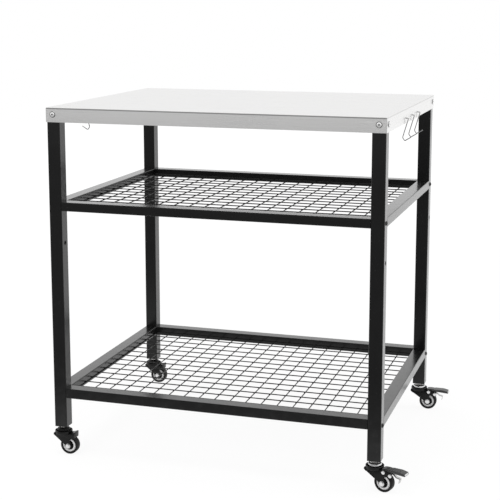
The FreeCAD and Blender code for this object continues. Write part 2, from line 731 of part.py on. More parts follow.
os.makedirs("parts", exist_ok=True)
for item in nodes:
    item.Shape.exportStep(os.path.join("parts", item.Label + ".step"))
    print(item.Label, len(item.Shape.Solids), round(item.Shape.Volume / 1000, 2), "cm3")
print(len(nodes), "nodes")
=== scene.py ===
import json
import math

import bmesh
import bpy
import numpy as np
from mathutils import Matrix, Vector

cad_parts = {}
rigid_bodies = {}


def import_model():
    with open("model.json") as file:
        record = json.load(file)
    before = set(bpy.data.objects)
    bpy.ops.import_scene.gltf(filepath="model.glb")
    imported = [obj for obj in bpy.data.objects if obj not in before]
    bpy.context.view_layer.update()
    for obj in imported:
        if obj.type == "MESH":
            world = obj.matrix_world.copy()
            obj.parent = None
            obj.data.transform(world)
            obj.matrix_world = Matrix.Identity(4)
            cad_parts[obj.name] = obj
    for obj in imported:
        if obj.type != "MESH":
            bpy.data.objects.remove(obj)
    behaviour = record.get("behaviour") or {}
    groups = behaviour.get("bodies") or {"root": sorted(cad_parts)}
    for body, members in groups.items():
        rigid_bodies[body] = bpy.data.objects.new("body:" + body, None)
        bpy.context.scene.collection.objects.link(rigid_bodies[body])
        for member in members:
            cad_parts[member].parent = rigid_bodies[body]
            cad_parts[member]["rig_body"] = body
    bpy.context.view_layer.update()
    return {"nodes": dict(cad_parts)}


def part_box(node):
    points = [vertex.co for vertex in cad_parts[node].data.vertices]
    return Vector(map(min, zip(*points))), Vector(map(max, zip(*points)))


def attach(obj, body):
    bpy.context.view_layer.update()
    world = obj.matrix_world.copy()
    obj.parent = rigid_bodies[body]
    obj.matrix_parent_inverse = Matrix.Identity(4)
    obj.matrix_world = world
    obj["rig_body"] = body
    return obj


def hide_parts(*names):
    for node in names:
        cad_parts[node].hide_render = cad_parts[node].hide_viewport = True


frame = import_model()


# The worktop is a tray of 1.5 mm stainless steel turned over: its edges are folded down, and its corners are
# welded and ground. The brushed grain runs from side to side, and from front to back on the two short skirts.
class Socket:
    """A node's output. Arithmetic on it adds Math nodes, and node() adds any other node to the same tree."""

    def __init__(self, tree, output=None):
        self.tree, self.output = tree, output

    def node(self, kind, settings=None, inputs=None, output=0):
        """A new node with its settings and its sockets' values or links; gives one of its outputs."""
        made = self.tree.nodes.new(kind)
        for name, setting in (settings or {}).items():
            setattr(made, name, setting)
        for name, item in (inputs or {}).items():
            if isinstance(item, Socket):
                self.tree.links.new(item.output, made.inputs[name])
            else:
                made.inputs[name].default_value = item
        return Socket(self.tree, made.outputs[output])

    def math(self, operation, *others):
        """A Math node whose first value is this one."""
        return self.node("ShaderNodeMath", {"operation": operation}, dict(enumerate((self, *others))))

    def __add__(self, other):
        return self.math("ADD", other)

    def __sub__(self, other):
        return self.math("SUBTRACT", other)

    def __rsub__(self, other):
        return self.math("MULTIPLY_ADD", -1, other)

    def __mul__(self, other):
        return self.math("MULTIPLY", other)

    __radd__ = __add__
    __rmul__ = __mul__

    def __abs__(self):
        return self.math("ABSOLUTE")

    def rise(self, low, high):
        """0 up to low and 1 from high, with a smooth step between."""
        return self.node("ShaderNodeMapRange", {"interpolation_type": "SMOOTHSTEP"},
                         {"Value": self, "From Min": low, "From Max": high})

    def parts(self):
        """The X, Y and Z of a vector."""
        split = self.node("ShaderNodeSeparateXYZ", inputs={"Vector": self}).output.node
        return [Socket(self.tree, output) for output in split.outputs]

    def noise(self, size, stretch=(1, 1, 1), detail=3):
        """Noise about 0.5 on a place in metres, with grains of a size, drawn out on the axes by stretch."""
        scale = [1 / (size * times) for times in stretch]
        spread = self.node("ShaderNodeMapping", {}, {"Vector": self, "Scale": scale})
        return spread.node("ShaderNodeTexNoise", {}, {"Vector": spread, "Scale": 1, "Detail": detail})

    def mixed(self, low, high):
        """A colour between two, by this share from 0 to 1."""
        return self.node("ShaderNodeMix", {"data_type": "RGBA"}, {0: self, 6: low, 7: high}, output=2)

    def bumped(self, depth):
        """A surface normal from this height, where 1 stands so many metres above 0."""
        return self.node("ShaderNodeBump", {}, {"Height": self, "Distance": depth})


def grey(level, warmth=0.0):
    """A grey, with a little more red and less blue where warmth is above 0."""
    return (level * (1 + warmth), level, level * (1 - warmth), 1)


def finish(name, vary, **constants):
    """A material: constants go on the shader's sockets, and vary(place) gives what varies on the surface."""
    made = bpy.data.materials.new(name)
    made.use_nodes = True
    tree = made.node_tree
    shader = tree.nodes["Principled BSDF"]
    for socket, number in constants.items():
        shader.inputs[socket.replace("_", " ")].default_value = number
    place = Socket(tree).node("ShaderNodeTexCoord", output="Object")
    for socket, item in vary(place).items():
        tree.links.new(item.output, shader.inputs[socket])
    return made


def dress(made, *nodes):
    """Give CAD nodes a finish."""
    for name in nodes:
        frame["nodes"][name].material_slots[0].material = made


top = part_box("worktop")[1]
WALL = 0.0015
GRAIN, DRAWN_OUT = 0.0011, 160
FOLD_START, FOLD_END, WELD_EDGE = (0.0008, 0.0014), (0.0036, 0.0048), (0.0005, 0.0011)


def brushed_sheet(place):
    x, y, z = place.parts()
    on_side = abs(x).rise(top.x - WALL - 0.0001, top.x - WALL + 0.0003)
    across = place.noise(GRAIN, (DRAWN_OUT, 1, 1), 2)
    to_back = place.noise(GRAIN, (1, DRAWN_OUT, 1), 2)
    grain = across * (1 - on_side) + to_back * on_side
    cloud = place.noise(0.16, (2.5, 1, 1))
    smear = place.noise(0.05, (1, 3, 1), 5).rise(0.56, 0.74)
    depth = top.z - z
    # Painted shade: a dark band 1 to 4 mm under the top edge marks the bend. It is strong on the front and
    # back and faint on the short skirts.
    fold_shade = depth.rise(*FOLD_START) * (1 - depth.rise(*FOLD_END))
    weld = (1 - (top.x - abs(x)).rise(*WELD_EDGE)) * (1 - (top.y - abs(y)).rise(*WELD_EDGE))
    dark = fold_shade * (0.60 - 0.45 * on_side) + weld * 0.35
    # Painted light: the two short skirts are made 0.07 lighter, as if more light fell on the sides.
    bright = (grain - 0.5) * 0.10 + (cloud - 0.5) * 0.05 + 0.07 * on_side + 0.80
    return {"Base Color": (bright * (1 - dark)).mixed(grey(0.0), grey(1.0, 0.004)),
            "Roughness": 0.30 + (grain - 0.5) * 0.16 + (cloud - 0.5) * 0.10 + smear * 0.05 + fold_shade * 0.2,
            "Normal": grain.bumped(0.00002)}


sheet_steel = finish("brushed_stainless", brushed_sheet, Metallic=1.0)
dress(sheet_steel, "worktop")


# The stiffeners are two hat sections of plain galvanised sheet, which run from front to back under the
# worktop and are spot-welded to it through their flanges every 60 mm.
STIFFENER_X, FLANGE_X, SPOT_PITCH = 0.228, 0.0275, 0.060
SPOT_RADIUS = (0.0022, 0.0034)


def galvanised(place):
    x, y = place.parts()[:2]
    flake = place.noise(0.009, (1, 1.6, 1), 4)
    spot_x = abs(abs(abs(x) - STIFFENER_X) - FLANGE_X)
    spot_y = y.math("PINGPONG", SPOT_PITCH / 2)
    mark = 1 - (spot_x * spot_x + spot_y * spot_y).math("SQRT").rise(*SPOT_RADIUS)
    return {"Base Color": (flake * 0.5 + mark * 0.4).mixed(grey(0.52), grey(0.34, 0.02)),
            "Roughness": 0.36 + flake * 0.14 + mark * 0.15,
            "Normal": (flake * 0.3 - mark).bumped(0.00012)}


galvanised_sheet = finish("galvanised_sheet", galvanised, Metallic=1.0)
dress(galvanised_sheet, "worktop_stiffener_left", "worktop_stiffener_right")


# The legs are square steel tubes and the shelf rails flat ones, in a glossy black powder coat with a faint
# orange peel. Use leaves fine grey scuffs on it, and the spare shelf holes have a matt black rim.
SPARE_HOLE_Y, SPARE_HOLE_Z, HOLE_RIM = 0.336, 0.594, (0.0050, 0.0062)
DUST_HEIGHT = (0.08, 0.32)


def coated_tube(place):
    y, z = place.parts()[1:]
    tone = place.noise(0.09, detail=4)
    peel = place.noise(0.0016, detail=2)
    scuff = place.noise(0.004, (1, 9, 1), 6).rise(0.62, 0.70) * place.noise(0.03, detail=4).rise(0.50, 0.68)
    drag = place.noise(0.003, (12, 1, 1), 6).rise(0.64, 0.70) * place.noise(0.04, detail=4).rise(0.52, 0.68)
    worn = (scuff + drag).math("MINIMUM", 1)
    dust = (1 - z.rise(*DUST_HEIGHT)) * place.noise(0.02, detail=5).rise(0.40, 0.75)
    hole_y, hole_z = abs(y) - SPARE_HOLE_Y, z - SPARE_HOLE_Z
    rim = 1 - (hole_y * hole_y + hole_z * hole_z).rise(HOLE_RIM[0] ** 2, HOLE_RIM[1] ** 2)
    share = worn * 0.16 + dust * 0.05 + tone * 0.03
    return {"Base Color": (share * (1 - rim)).mixed(grey(0.003, -0.02), grey(0.14)),
            "Roughness": 0.30 + (tone - 0.5) * 0.04 + worn * 0.16 + dust * 0.10 + rim * 0.5,
            "Coat Weight": 1 - rim,
            "Normal": peel.bumped(0.000035)}


powder_coat = finish("black_powder_coat", coated_tube, IOR=1.24, Coat_IOR=1.24, Coat_Roughness=0.2)
dress(powder_coat, *[name for name in frame["nodes"] if name.startswith("leg_") or "_rail_" in name])


# The bolts have a round head with a flange and a hexagon socket. Bright stainless ones hold the skirt to nuts
# welded inside the legs. Black ones run through the legs into the ends of the front and back shelf rails.
def turned(profile, sides, flats=np.inf):
    """A profile of (radius, height) turned about Z: x = r cos a, y = r sin a. Where flats is a number, r is
    at most flats / 2 / cos b, with b the angle from the middle of the nearest side, which makes a hexagon."""
    angle = np.linspace(0, 2 * np.pi, sides, endpoint=False)
    radius, height = np.array(profile, float).T
    from_middle = (angle + np.pi / 6) % (np.pi / 3) - np.pi / 6
    limit = np.broadcast_to(flats, radius.shape)[:, None] / 2 / np.cos(from_middle)
    radius = np.minimum(radius[:, None], limit)
    height = np.broadcast_to(height[:, None], radius.shape)
    return np.stack([radius * np.cos(angle), radius * np.sin(angle), height], axis=-1)


def rounded(corners, reach, steps=5, closed=True):
    """An outline or path with each corner b made a parabola, (1-t)^2 a + 2t(1-t) b + t^2 c, which runs from
    a, reach before the corner, to c, reach after it."""
    b = np.array(corners, float)
    before, after = np.roll(b, 1, axis=0) - b, np.roll(b, -1, axis=0) - b
    length_before = np.linalg.norm(before, axis=1, keepdims=True)
    length_after = np.linalg.norm(after, axis=1, keepdims=True)
    reach = np.minimum(np.minimum(length_before, length_after) * 0.48, np.reshape(reach, (-1, 1)))
    a, c = b + before / length_before * reach, b + after / length_after * reach
    t = np.linspace(0, 1, steps)[None, :, None]
    arcs = (1 - t) ** 2 * a[:, None] + 2 * t * (1 - t) * b[:, None] + t ** 2 * c[:, None]
    if closed:
        return arcs.reshape(-1, b.shape[1])
    return np.concatenate([b[:1], arcs[1:-1].reshape(-1, b.shape[1]), b[-1:]])


def about(axis, degrees):
    """The matrix that turns points about an axis, v cos a + (k x v) sin a + k (k.v) (1 - cos a)."""
    k = np.array(axis, float) / np.linalg.norm(axis)
    a = math.radians(degrees)
    cross = np.array([[0, -k[2], k[1]], [k[2], 0, -k[0]], [-k[1], k[0], 0]])
    return np.eye(3) * math.cos(a) + cross * math.sin(a) + np.outer(k, k) * (1 - math.cos(a))


def placed(shape, turn, x, y, z):
    """Points turned about the origin by a matrix, then moved by x, y and z."""
    return shape @ turn.T + np.array([x, y, z])


def surface(points, closed_rows=False):
    """A grid of points with four-sided faces between neighbours. Its columns close on themselves. So do its
    rows where closed_rows is set, and otherwise a flat face closes each end."""
    rows, columns = points.shape[:2]
    i = np.arange(rows - (not closed_rows))[:, None]
    j = np.arange(columns)[None, :]
    here, there, beside = i * columns, (i + 1) % rows * columns, (j + 1) % columns
    faces = np.stack([here + j, here + beside, there + beside, there + j], axis=-1).reshape(-1, 4).tolist()
    if not closed_rows:
        faces += [list(range(columns)), list(range((rows - 1) * columns, rows * columns))]
    return points.reshape(-1, 3), faces


def piece(name, surfaces, replaced, sharp=35):
    """One object from surfaces in millimetres, which are listed under their finish. Its faces are turned
    outwards. It takes the place of CAD nodes and rides on their body."""
    points, faces, numbers = [], [], []
    mesh = bpy.data.meshes.new(name)
    for coat, blocks in surfaces.items():
        for block, corners in blocks:
            start = sum(len(earlier) for earlier in points)
            points.append(block)
            faces += [[start + corner for corner in face] for face in corners]
            numbers += [len(mesh.materials)] * len(corners)
        mesh.materials.append(coat)
    mesh.from_pydata(np.concatenate(points) / 1000, [], faces)
    mesh.polygons.foreach_set("material_index", numbers)
    shape = bmesh.new()
    shape.from_mesh(mesh)
    bmesh.ops.recalc_face_normals(shape, faces=shape.faces)
    shape.to_mesh(mesh)
    shape.free()
    mesh.shade_smooth()
    mesh.set_sharp_from_angle(angle=math.radians(sharp))
    made = bpy.data.objects.new(name, mesh)
    bpy.context.scene.collection.objects.link(made)
    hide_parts(*replaced)
    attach(made, frame["nodes"][replaced[0]]["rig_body"])


SHEET, LEG, DROP = WALL * 1000, 36.0, 18.5
HALF_X, HALF_Y, TOP = np.array(top) * 1000
LEG_X, LEG_Y = HALF_X - SHEET - LEG / 2, HALF_Y - SHEET - LEG / 2
CORNERS = {"front_left": (-1, -1), "front_right": (1, -1), "back_left": (-1, 1), "back_right": (1, 1)}
TOP_HEAD, TOP_BOLT = 16.5, 10.0
SHELF_HEAD, SHELF_BOLT, SHELF_BOLT_Z = 12.0, 48.0, {"mid_shelf": 695, "bottom_shelf": 172}
SHANK, DOME, KEY = 3.0, 0.42, 4.0


def bolt_shape(head, length):
    """A turned bolt whose shank points to -Z, with a flange, a groove, a dome and a hexagon socket in it."""
    flange, dome = head / 2, head * DOME
    outside = [(SHANK - 0.05, -length), (SHANK, -length + 0.6), (SHANK, 0), (flange - 0.3, 0), (flange, 0.3),
               (flange, 0.9), (flange - 0.4, 1.2), (dome + 0.4, 1.2), (dome + 0.2, 0.8), (dome, 0.8),
               (dome * 0.98, 1.6), (dome * 0.88, 2.35), (dome * 0.72, 2.9), (dome * 0.55, 3.2), (2.6, 3.3)]
    socket = [(2.5, 3.2), (2.5, 1.3), (0.4, 1.2)]
    return turned(outside + socket, 36, [np.inf] * len(outside) + [KEY] * len(socket))


def shade_and_grime_shapes(head):
    """Painted shade with some dirt: dark rings round a bolt's dome, and on the floor and walls of its socket.
    """
    flange, dome = head / 2, head * DOME
    groove = [(dome - 0.6, 0.5), (dome + 0.4, 0.5), (flange - 0.05, 1.1), (flange - 0.4, 1.34),
              (dome + 0.1, 1.55), (dome * 0.93, 2.1)]
    cup = turned([(0.2, 1.1), (2.5, 1.1), (2.5, 2.9), (2.5, 2.9), (2.5, 1.6), (0.2, 1.5)], 36,
                 [np.inf, KEY + 0.2, KEY + 0.2, KEY - 0.3, KEY - 0.3, np.inf])
    return [surface(turned(groove, 36), closed_rows=True), surface(cup)]


def bright_bolt(place):
    ring_mark = place.noise(0.0012, detail=2)
    stain = place.noise(0.004, detail=3)
    return {"Base Color": stain.mixed(grey(0.86), grey(0.96)),
            "Roughness": 0.16 + ring_mark * 0.18,
            "Normal": ring_mark.bumped(0.00003)}


def black_oxide(place):
    speck = place.noise(0.0018, detail=4)
    rub = place.noise(0.0009, detail=5).rise(0.60, 0.72)
    return {"Base Color": (speck * 0.3 + rub * 0.5).mixed(grey(0.006), grey(0.10, 0.05)),
            "Roughness": 0.26 + speck * 0.2,
            "Normal": speck.bumped(0.00005)}


def plain_zinc(place):
    flake = place.noise(0.003, detail=4)
    return {"Base Color": flake.mixed(grey(0.40, 0.03), grey(0.58, 0.01)),
            "Roughness": 0.24 + flake * 0.22,
            "Normal": flake.bumped(0.00004)}


stainless_bolt = finish("stainless_bolt", bright_bolt, Metallic=1.0)
black_bolt = finish("black_oxide_bolt", black_oxide)
# A near-black coat for the painted shade and dirt in the bolts' grooves and sockets.
shade_and_grime = finish("groove_shade_and_grime", black_oxide)
zinc = finish("zinc_plated_steel", plain_zinc, Metallic=1.0)

bolts, rings = [], []
for side, end in CORNERS.values():
    for turn, x, y in ((about((0, 1, 0), 90 * side), side * HALF_X, end * LEG_Y),
                       (about((1, 0, 0), -90 * end), side * LEG_X, end * HALF_Y)):
        bolts.append(surface(placed(bolt_shape(TOP_HEAD, TOP_BOLT), turn, x, y, TOP - DROP)))
        rings += [(placed(points, turn, x, y, TOP - DROP), faces) for points, faces in shade_and_grime_shapes(TOP_HEAD)]
piece("worktop_bolt_set", {stainless_bolt: bolts, shade_and_grime: rings}, ["worktop_bolts"])

for shelf, level in SHELF_BOLT_Z.items():
    bolts = [surface(placed(bolt_shape(SHELF_HEAD, SHELF_BOLT), about((0, 1, 0), 90 * side),
                            side * (HALF_X - SHEET), end * LEG_Y, level)) for side, end in CORNERS.values()]
    piece(f"{shelf}_bolt_set", {black_bolt: bolts}, [f"{shelf}_bolts"])

dress(zinc, "worktop_weld_nuts", "leg_foot_blocks", "mid_shelf_rail_end_blocks",
      "bottom_shelf_rail_end_blocks", "caster_lock_nuts", "caster_bearing_balls")


# Each shelf mesh is 3 mm steel wire: fifteen wires lie across twenty that run from front to back, pressed
# into each other and resistance-welded at every crossing, then powder-coated. Their ends touch the rails.
WIRE, WIRE_END, COLUMNS, ROWS = 3.0, 1.75, 20, 15
WELD_RADIUS, WELD_HEIGHT, WELD_SIDES = 2.5, 1.5, 8


def swept(path, section, across):
    """A section carried along a path: p + u side + v up, with side = across x t and up = t x side for the
    path's direction t, which is never along across. The section is one outline or one for each point."""
    path = np.array(path, float)
    tangent = np.gradient(path, axis=0)
    tangent /= np.linalg.norm(tangent, axis=1, keepdims=True)
    side = np.cross(np.array(across, float), tangent)
    side /= np.linalg.norm(side, axis=1, keepdims=True)
    up = np.cross(tangent, side)
    section = np.broadcast_to(section, (len(path), *np.shape(section)[-2:]))
    return path[:, None] + section[..., :1] * side[:, None] + section[..., 1:] * up[:, None]


def circle(radius, sides=10):
    """A circle's outline, (r cos a, r sin a)."""
    angle = np.linspace(0, 2 * np.pi, sides, endpoint=False)
    return radius * np.stack([np.cos(angle), np.sin(angle)], axis=-1)


def wire_coat(place):
    peel = place.noise(0.0012, detail=2)
    tone = place.noise(0.03, detail=4)
    chip = place.noise(0.0025, detail=5).rise(0.70, 0.76)
    return {"Base Color": (tone * 0.06 + chip * 0.3).mixed(grey(0.006), grey(0.16)),
            "Roughness": 0.34 + (tone - 0.5) * 0.14 + chip * 0.1,
            "Normal": peel.bumped(0.00004)}


coated_wire = finish("black_coated_wire", wire_coat, IOR=1.35)
span_x, span_y = HALF_X - SHEET - LEG - WIRE_END, HALF_Y - SHEET - LEG - WIRE_END
end_x, end_y = span_x + WIRE_END, span_y + WIRE_END
wires_x, wires_y = np.linspace(-span_x, span_x, COLUMNS), np.linspace(-span_y, span_y, ROWS)

# A weld bead is an ellipse turned about Z, and both its poles are cut flat.
rise = np.linspace(-0.46, 0.46, 5) * np.pi
weld = turned(np.stack([np.cos(rise) * WELD_RADIUS, np.sin(rise) * WELD_HEIGHT], axis=-1), WELD_SIDES)
round_wire = circle(WIRE / 2)
for shelf in SHELF_BOLT_Z:
    low, high = (corner.z * 1000 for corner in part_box(f"{shelf}_mesh"))
    lower, upper = low + WIRE / 2, high - WIRE / 2
    wires = [surface(swept([(-end_x, y, upper), (end_x, y, upper)], round_wire, (0, 0, 1))) for y in wires_y]
    wires += [surface(swept([(x, -end_y, lower), (x, end_y, lower)], round_wire, (0, 0, 1))) for x in wires_x]
    wires += [surface(weld + np.array([x, y, (upper + lower) / 2])) for x in wires_x for y in wires_y]
    piece(f"{shelf}_wires", {coated_wire: wires}, [f"{shelf}_mesh"])


# The four casters swivel. A turned stem screws into the leg and carries the upper race, a ring of balls runs
# between it and the dish of the pressed fork, and a moulded rim with a rubber tyre turns on an M8 axle bolt.
TRAIL, BRAKED_TRAIL, BRAKED = 19.0, 28.0, ("front_right", "back_right")
TURN = {"front_left": 0, "front_right": -15, "back_left": 0, "back_right": 0}
AXLE_Z, SPOKES = 25.5, 6
CROWN, RACE, SHOULDER, FOOT, THREAD = 59.5, 63.7, 75.0, 80.0, 24.0
FORK_FACE, CHEEK, NOSE, CHEEK_TOP = 15.5, 2.5, 24.0, 56.0
BRAKED_REACH, REACH, FLARE = 23.5, 37.0, 4.4
PIVOT = (31.0, 55.5)


def off_axle(distance, angle):
    """X and Z of a point at a distance from a braked wheel's axle. The angle runs from straight up, away from
    the stem."""
    a = math.radians(angle)
    return BRAKED_TRAIL + distance * math.sin(a), AXLE_Z + distance * math.cos(a)


STOP = off_axle(32.9, 42)


def seated(shape, corner):
    """Points about a caster's own swivel axis, put under its leg and turned as the caster stands."""
    side, end = CORNERS[corner]
    return placed(shape, about((0, 0, 1), TURN[corner]), side * LEG_X, end * LEG_Y, 0)


def on_axle(shape, corner, closed_rows=False):
    """A surface from points about the Z axis, laid on the caster's axle so that Z points to the front."""
    trail = BRAKED_TRAIL if corner in BRAKED else TRAIL
    return surface(seated(placed(shape, about((1, 0, 0), 90), trail, 0, AXLE_Z), corner), closed_rows)


def plate(outline, low, high, rim=0.7):
    """A flat plate in X and Z from low to high on Y. Its rims are quarter circles: where Y lies
    rim (1 - cos a) inside a face, the outline is drawn in by rim (1 - sin a)."""
    ahead = np.roll(outline, -1, axis=0) - np.roll(outline, 1, axis=0)
    inward = np.stack([-ahead[:, 1], ahead[:, 0]], axis=-1) / np.linalg.norm(ahead, axis=1, keepdims=True)
    x, z = outline.T
    inward *= np.sign(np.sum(x * np.roll(z, -1) - np.roll(x, -1) * z))
    a = np.radians([0, 45, 90])
    y = np.concatenate([low + rim * (1 - np.cos(a)), high - rim * (1 - np.cos(a[::-1]))])
    drawn_in = rim * (1 - np.sin(np.concatenate([a, a[::-1]])))
    rings = outline + inward * drawn_in[:, None, None]
    return np.stack([rings[..., 0], np.broadcast_to(y[:, None], rings.shape[:2]), rings[..., 1]], axis=-1)


def mirrored(half):
    """A closed section from its half above height 0, whose first and last points lie on height 0."""
    return np.concatenate([half, (half * (1, -1))[-2:0:-1]])


def rubber(place):
    grain = place.noise(0.0011, detail=3)
    dust = place.noise(0.012, detail=5).rise(0.42, 0.75)
    return {"Base Color": (dust * 0.08 + grain * 0.04).mixed(grey(0.003), grey(0.12, 0.04)),
            "Roughness": 0.48 + dust * 0.2,
            "Normal": grain.bumped(0.00006)}


def grey_nylon(place):
    grain = place.noise(0.0009, detail=2)
    cloud = place.noise(0.011, detail=4)
    return {"Base Color": cloud.mixed(grey(0.80), grey(0.92)),
            "Roughness": 0.34 + grain * 0.14,
            "Normal": grain.bumped(0.00003)}


def black_nylon(place):
    grain = place.noise(0.0009, detail=2)
    cloud = place.noise(0.009, detail=4)
    return {"Base Color": cloud.mixed(grey(0.004), grey(0.012)),
            "Roughness": 0.42 + grain * 0.12,
            "Normal": grain.bumped(0.00005)}


def bright_zinc_plate(place):
    sheen = place.noise(0.0016, detail=3)
    haze = place.noise(0.010, detail=4)
    return {"Base Color": haze.mixed(grey(0.66, 0.01), grey(0.82, -0.01)),
            "Roughness": 0.12 + sheen * 0.12 + haze * 0.08,
            "Normal": sheen.bumped(0.00002)}


def black_pressing(place):
    tone = place.noise(0.012, detail=4)
    peel = place.noise(0.0010, detail=2)
    scratch = place.noise(0.0012, (1, 1, 7), 5).rise(0.66, 0.72)
    return {"Base Color": (tone * 0.03 + scratch * 0.25).mixed(grey(0.003), grey(0.20)),
            "Roughness": 0.26 + (tone - 0.5) * 0.15 + scratch * 0.1,
            "Normal": peel.bumped(0.00003)}


tyre_rubber = finish("black_tyre_rubber", rubber, IOR=1.3)
rim_nylon = finish("light_grey_rim", grey_nylon, IOR=1.5)
hub_nylon = finish("black_hub", black_nylon, IOR=1.4)
bright_zinc = finish("bright_zinc_plate", bright_zinc_plate, Metallic=1.0)
caster_black = finish("black_caster_coat", black_pressing, IOR=1.28)

tyre = mirrored(rounded([(19.6, 0), (19.6, 10.5), (23.3, 10.5), (25.4, 8.2), (25.5, 5.0), (24.8, 4.4),
                         (24.8, 3.6), (25.5, 3.0), (25.5, 0)],
                        [1.3, 1.3, 1.3, 1.3, 0.4, 0.3, 0.3, 0.4, 1.0], 4, closed=False))
band = mirrored(rounded([(13.5, 0), (13.5, 8.8), (14.1, 9.5), (15.4, 9.3), (19.2, 7.0), (19.5, 6.2),
                         (19.5, 0)], 0.7, closed=False))
hub = mirrored(rounded([(4.05, 0), (4.05, 12.7), (7.1, 12.7), (7.5, 12.2), (7.8, 3.4), (13.6, 2.6),
                        (13.6, 0)], 0.5, closed=False))
spoke = swept([(7.0, 0, 0), (10.5, 0, 0), (14.0, 0, 0)],
              rounded([(-0.9, -6.2), (0.9, -6.2), (0.9, 6.2), (-0.9, 6.2)], 0.6, 3), (0, 0, 1))
bolt_end = turned([(4.0, -FORK_FACE - 5), (4.0, FORK_FACE), (6.7, FORK_FACE), (6.9, FORK_FACE + 0.3),
                   (6.9, FORK_FACE + 1.1), (6.4, FORK_FACE + 1.5), (6.4, FORK_FACE + 1.6),
                   (6.4, FORK_FACE + 4.2), (5.2, FORK_FACE + 4.9), (0.3, FORK_FACE + 5.0)],
                  48, [np.inf] * 6 + [11, 11, np.inf, np.inf])
nut = turned([(4.1, -FORK_FACE), (7.5, -FORK_FACE), (7.5, -FORK_FACE - 3.6), (6.6, -FORK_FACE - 4.4),
              (4.5, -FORK_FACE - 4.5), (4.1, -FORK_FACE - 4.2)], 48, [np.inf, 13, 13, np.inf, np.inf, np.inf])
stem = rounded([(0.5, 53.9), (6.6, 53.9), (7.0, 54.5), (7.0, 56.9), (5.0, 56.9), (5.0, RACE), (17.2, RACE),
                (18.0, 64.6), (18.0, 69.0), (16.6, 71.4), (13.0, 72.6), (9.6, SHOULDER), (5.0, SHOULDER),
                (5.0, FOOT + THREAD - 0.6), (4.4, FOOT + THREAD), (0.4, FOOT + THREAD)], 0.6, closed=False)
seal = rounded([(12.3, 72.2), (12.6, 73.2), (16.2, 71.9), (16.6, 71.0)], 0.3, 3)
dish = rounded([(5.05, 57), (NOSE, 57), (NOSE, 66), (22, 66), (22, CROWN), (5.05, CROWN)],
               [0.3, 2.8, 0.7, 0.7, 1.5, 0.3])


def fork_shells(corner):
    """The fork's two cheeks, the arch that joins them above the wheel, and a plain fork's flared guard. The
    guard and what is near it rise by FLARE ((x - 20) / 17)^1.5, from 20 mm behind the stem on."""
    braked = corner in BRAKED
    trail, reach = (BRAKED_TRAIL, BRAKED_REACH) if braked else (TRAIL, REACH)
    outline = [(-NOSE, CHEEK_TOP), (-NOSE, 54.6)]
    under_axle = np.linspace(0.98, 2, 14) * math.pi
    outline += [(trail + 8 * math.cos(a), AXLE_Z + 8 * math.sin(a)) for a in under_axle]
    if braked:
        outline += [(trail + 5, STOP[1] - 5), (STOP[0] + 5, STOP[1] - 5), (STOP[0] + 5, PIVOT[1]),
                    (PIVOT[0] + 5, CROWN + 1.5), (PIVOT[0] - 5, CROWN + 1.5), (reach, CROWN - 1),
                    (reach - 1.5, CHEEK_TOP)]
    else:
        outline += [(NOSE, 45.5), (reach, 42.6), (reach, CHEEK_TOP)]
    middle = FORK_FACE - CHEEK / 2
    shells = [plate(rounded(outline, 2.2, 4), side * middle - CHEEK / 2, side * middle + CHEEK / 2)
              for side in (-1, 1)]

    outer, inner = FORK_FACE - 0.05, FORK_FACE - 2.4
    arch = rounded([(-outer, 50), (-outer, CROWN - 0.2), (outer, CROWN - 0.2), (outer, 50), (inner, 50),
                    (inner, 56.95), (-inner, 56.95), (-inner, 50)], [0.3, 4.5, 4.5, 0.3, 0.3, 2.4, 2.4, 0.3])
    stations = np.array([-NOSE, -18.4, *np.linspace(20, reach, 7)])[:, None]
    lowest = np.interp(stations, [-NOSE, -18.4], [54.8, 50])
    x, y = np.broadcast_arrays(stations, arch[:, 0])
    z = np.where(arch[:, 1] < 54, np.maximum(arch[:, 1], lowest), arch[:, 1])
    shells.append(np.stack([x, y, z], axis=-1))

    if not braked:
        wall = rounded([(-15.3, 42.2), (15.3, 42.2), (15.3, 56.5), (12.2, 59.2), (-12.2, 59.2),
                        (-15.3, 56.5)], 2.0)
        shells.append(plate(wall, -reach, CHEEK - reach, 1.0) @ about((0, 0, 1), 90).T)
        for shell in shells:
            shell[..., 2] += FLARE * np.clip((shell[..., 0] - 20) / 17, 0, 1) ** 1.5 * (shell[..., 2] > 40)
    return shells


for corner in CORNERS:
    piece(f"tyre_{corner}", {tyre_rubber: [on_axle(turned(tyre, 72), corner, True)]},
          [f"caster_tyre_{corner}"])
    moulding = [on_axle(spoke @ about((0, 0, 1), 360 / SPOKES * k).T, corner) for k in range(SPOKES)]
    moulding.append(on_axle(turned(hub, 48), corner, True))
    wheel = {rim_nylon: [on_axle(turned(band, 72), corner, True)], hub_nylon: moulding}
    piece(f"rim_{corner}", wheel, [f"caster_rim_{corner}"])
    axle = {bright_zinc: [on_axle(bolt_end, corner), on_axle(nut, corner, True)]}
    piece(f"axle_{corner}", axle, [f"caster_axle_{corner}"])
    cap = {bright_zinc if corner in BRAKED else caster_black: [surface(seated(turned(stem, 64), corner))],
           hub_nylon: [surface(seated(turned(seal, 64), corner), True)]}
    piece(f"stem_{corner}", cap, [f"caster_stem_{corner}"])
    fork = [surface(seated(shell, corner)) for shell in fork_shells(corner)]
    fork.append(surface(seated(turned(dish, 72), corner), True))
    piece(f"fork_{corner}", {caster_black: fork}, [f"caster_fork_{corner}"], sharp=30)


# Each right-hand caster has a brake. A pressed pedal with a ribbed tread turns on the upper rivet between the
# fork's ears and holds a shoe over the tyre. A bent strip of spring steel lies on the lower rivet under it.
TREAD, TREAD_START, TREAD_END = 62.0, 26.0, 85.0
RIBS, RIB, RIB_WIDTH = np.array([51.0, 57.0, 63.0, 69.0]), 0.30, 0.9
SHOE, SPRING_WIDTH, SPRING_THICK = 29.2, 12.0, 1.4
WEB_Y, LIP_Y, END_Y, HIGHLIGHT_STRIP_Y = 11.8, 11.6, 12.5, 9.8


